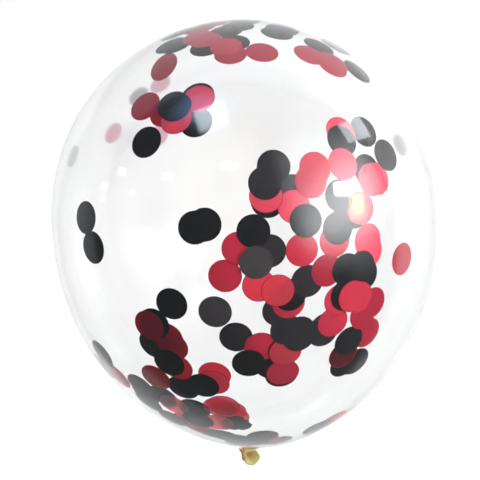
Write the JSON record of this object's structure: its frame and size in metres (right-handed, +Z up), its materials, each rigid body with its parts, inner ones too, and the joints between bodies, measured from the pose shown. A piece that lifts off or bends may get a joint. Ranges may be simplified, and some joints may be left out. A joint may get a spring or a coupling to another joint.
{
  "type": "confetti balloon",
  "caption": "Round clear latex party balloon tied in its own neck, lying on its side, with red and black tissue confetti loose inside.",
  "frame": {"origin": "on the surface that the balloon lies on, under the middle of its length", "axes": "+Y along the balloon from the knot to the crown, +Z up, +X to the right when seen from above with the crown at the top"},
  "size_m": [0.3, 0.3564, 0.2984],
  "materials": {
    "clear_latex": "gloss",
    "red_tissue": "matte",
    "black_tissue": "matte"
  },
  "bodies": {
    "root": {"balloon": "clear_latex"}
  },
  "joints": []
}
